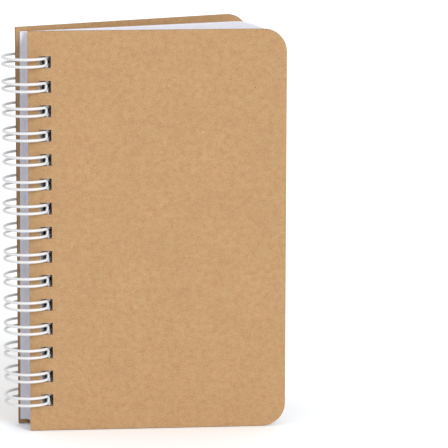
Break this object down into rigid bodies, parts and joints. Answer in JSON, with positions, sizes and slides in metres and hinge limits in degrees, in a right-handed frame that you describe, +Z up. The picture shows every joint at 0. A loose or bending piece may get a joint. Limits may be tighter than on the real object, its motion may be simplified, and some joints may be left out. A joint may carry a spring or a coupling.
{
  "type": "pocket notebook",
  "caption": "Small notebook with plain kraft board covers and blank white sheets on a white twin-loop wire, standing upright and a little open.",
  "frame": {"origin": "middle of the footprint's box, on the surface that the notebook stands on", "axes": "+Z up along the spine, +X from the wire towards the front cover's fore-edge, -Y out of the front cover's flat outer face"},
  "size_m": [0.098, 0.046, 0.14],
  "materials": {
    "kraft_board": "matte uncoated kraft board with fine fibres",
    "coated_wire": "white nylon coated steel wire, satin",
    "paper": "matte uncoated white paper"
  },
  "bodies": {
    "binding_wire": {"binding_wire": "coated_wire"},
    "front_cover": {"front_cover": "kraft_board"},
    "leaves_01": {"leaves_01": "paper"},
    "leaves_02": {"leaves_02": "paper"},
    "leaves_03": {"leaves_03": "paper"},
    "leaves_04": {"leaves_04": "paper"},
    "leaves_05": {"leaves_05": "paper"},
    "leaves_06": {"leaves_06": "paper"},
    "leaves_07": {"leaves_07": "paper"},
    "leaves_08": {"leaves_08": "paper"},
    "leaves_09": {"leaves_09": "paper"},
    "leaves_10": {"leaves_10": "paper"},
    "leaves_11": {"leaves_11": "paper"},
    "leaves_12": {"leaves_12": "paper"},
    "leaves_13": {"leaves_13": "paper"},
    "leaves_14": {"leaves_14": "paper"},
    "leaves_15": {"leaves_15": "paper"},
    "leaves_16": {"leaves_16": "paper"},
    "leaves_17": {"leaves_17": "paper"},
    "leaves_18": {"leaves_18": "paper"},
    "leaves_19": {"leaves_19": "paper"},
    "leaves_20": {"leaves_20": "paper"},
    "back_cover": {"back_cover": "kraft_board"}
  },
  "joints": [
    {"name": "front_cover_turn", "type": "hinge", "parent": "binding_wire", "child": "front_cover", "pos_m": [-0.0405, -0.01451, 0.07], "axis": [0, 0, 1], "range_deg": [-178, 0]},
    {"name": "leaves_01_turn", "type": "hinge", "parent": "binding_wire", "child": "leaves_01", "pos_m": [-0.0405, -0.01451, 0.07], "axis": [0, 0, 1], "range_deg": [-0.8, 179.2]},
    {"name": "leaves_02_turn", "type": "hinge", "parent": "leaves_01", "child": "leaves_02", "pos_m": [-0.0405, -0.01451, 0.07], "axis": [0, 0, 1], "range_deg": [-0.8, 179.2]},
    {"name": "leaves_03_turn", "type": "hinge", "parent": "leaves_02", "child": "leaves_03", "pos_m": [-0.0405, -0.01451, 0.07], "axis": [0, 0, 1], "range_deg": [-0.8, 179.2]},
    {"name": "leaves_04_turn", "type": "hinge", "parent": "leaves_03", "child": "leaves_04", "pos_m": [-0.0405, -0.01451, 0.07], "axis": [0, 0, 1], "range_deg": [-0.8, 179.2]},
    {"name": "leaves_05_turn", "type": "hinge", "parent": "leaves_04", "child": "leaves_05", "pos_m": [-0.0405, -0.01451, 0.07], "axis": [0, 0, 1], "range_deg": [-0.8, 179.2]},
    {"name": "leaves_06_turn", "type": "hinge", "parent": "leaves_05", "child": "leaves_06", "pos_m": [-0.0405, -0.01451, 0.07], "axis": [0, 0, 1], "range_deg": [-0.8, 179.2]},
    {"name": "leaves_07_turn", "type": "hinge", "parent": "leaves_06", "child": "leaves_07", "pos_m": [-0.0405, -0.01451, 0.07], "axis": [0, 0, 1], "range_deg": [-0.8, 179.2]},
    {"name": "leaves_08_turn", "type": "hinge", "parent": "leaves_07", "child": "leaves_08", "pos_m": [-0.0405, -0.01451, 0.07], "axis": [0, 0, 1], "range_deg": [-0.8, 179.2]},
    {"name": "leaves_09_turn", "type": "hinge", "parent": "leaves_08", "child": "leaves_09", "pos_m": [-0.0405, -0.01451, 0.07], "axis": [0, 0, 1], "range_deg": [-0.8, 179.2]},
    {"name": "leaves_10_turn", "type": "hinge", "parent": "leaves_09", "child": "leaves_10", "pos_m": [-0.0405, -0.01451, 0.07], "axis": [0, 0, 1], "range_deg": [-0.8, 179.2]},
    {"name": "leaves_11_turn", "type": "hinge", "parent": "leaves_10", "child": "leaves_11", "pos_m": [-0.0405, -0.01451, 0.07], "axis": [0, 0, 1], "range_deg": [-0.8, 179.2]},
    {"name": "leaves_12_turn", "type": "hinge", "parent": "leaves_11", "child": "leaves_12", "pos_m": [-0.0405, -0.01451, 0.07], "axis": [0, 0, 1], "range_deg": [-0.8, 179.2]},
    {"name": "leaves_13_turn", "type": "hinge", "parent": "leaves_12", "child": "leaves_13", "pos_m": [-0.0405, -0.01451, 0.07], "axis": [0, 0, 1], "range_deg": [-0.8, 179.2]},
    {"name": "leaves_14_turn", "type": "hinge", "parent": "leaves_13", "child": "leaves_14", "pos_m": [-0.0405, -0.01451, 0.07], "axis": [0, 0, 1], "range_deg": [-0.8, 179.2]},
    {"name": "leaves_15_turn", "type": "hinge", "parent": "leaves_14", "child": "leaves_15", "pos_m": [-0.0405, -0.01451, 0.07], "axis": [0, 0, 1], "range_deg": [-0.8, 179.2]},
    {"name": "leaves_16_turn", "type": "hinge", "parent": "leaves_15", "child": "leaves_16", "pos_m": [-0.0405, -0.01451, 0.07], "axis": [0, 0, 1], "range_deg": [-0.8, 179.2]},
    {"name": "leaves_17_turn", "type": "hinge", "parent": "leaves_16", "child": "leaves_17", "pos_m": [-0.0405, -0.01451, 0.07], "axis": [0, 0, 1], "range_deg": [-0.8, 179.2]},
    {"name": "leaves_18_turn", "type": "hinge", "parent": "leaves_17", "child": "leaves_18", "pos_m": [-0.0405, -0.01451, 0.07], "axis": [0, 0, 1], "range_deg": [-0.8, 179.2]},
    {"name": "leaves_19_turn", "type": "hinge", "parent": "leaves_18", "child": "leaves_19", "pos_m": [-0.0405, -0.01451, 0.07], "axis": [0, 0, 1], "range_deg": [-0.8, 179.2]},
    {"name": "leaves_20_turn", "type": "hinge", "parent": "leaves_19", "child": "leaves_20", "pos_m": [-0.0405, -0.01451, 0.07], "axis": [0, 0, 1], "range_deg": [-0.8, 179.2]},
    {"name": "back_cover_turn", "type": "hinge", "parent": "leaves_20", "child": "back_cover", "pos_m": [-0.0405, -0.01451, 0.07], "axis": [0, 0, 1], "range_deg": [-4.7, 175.3]}
  ]
}
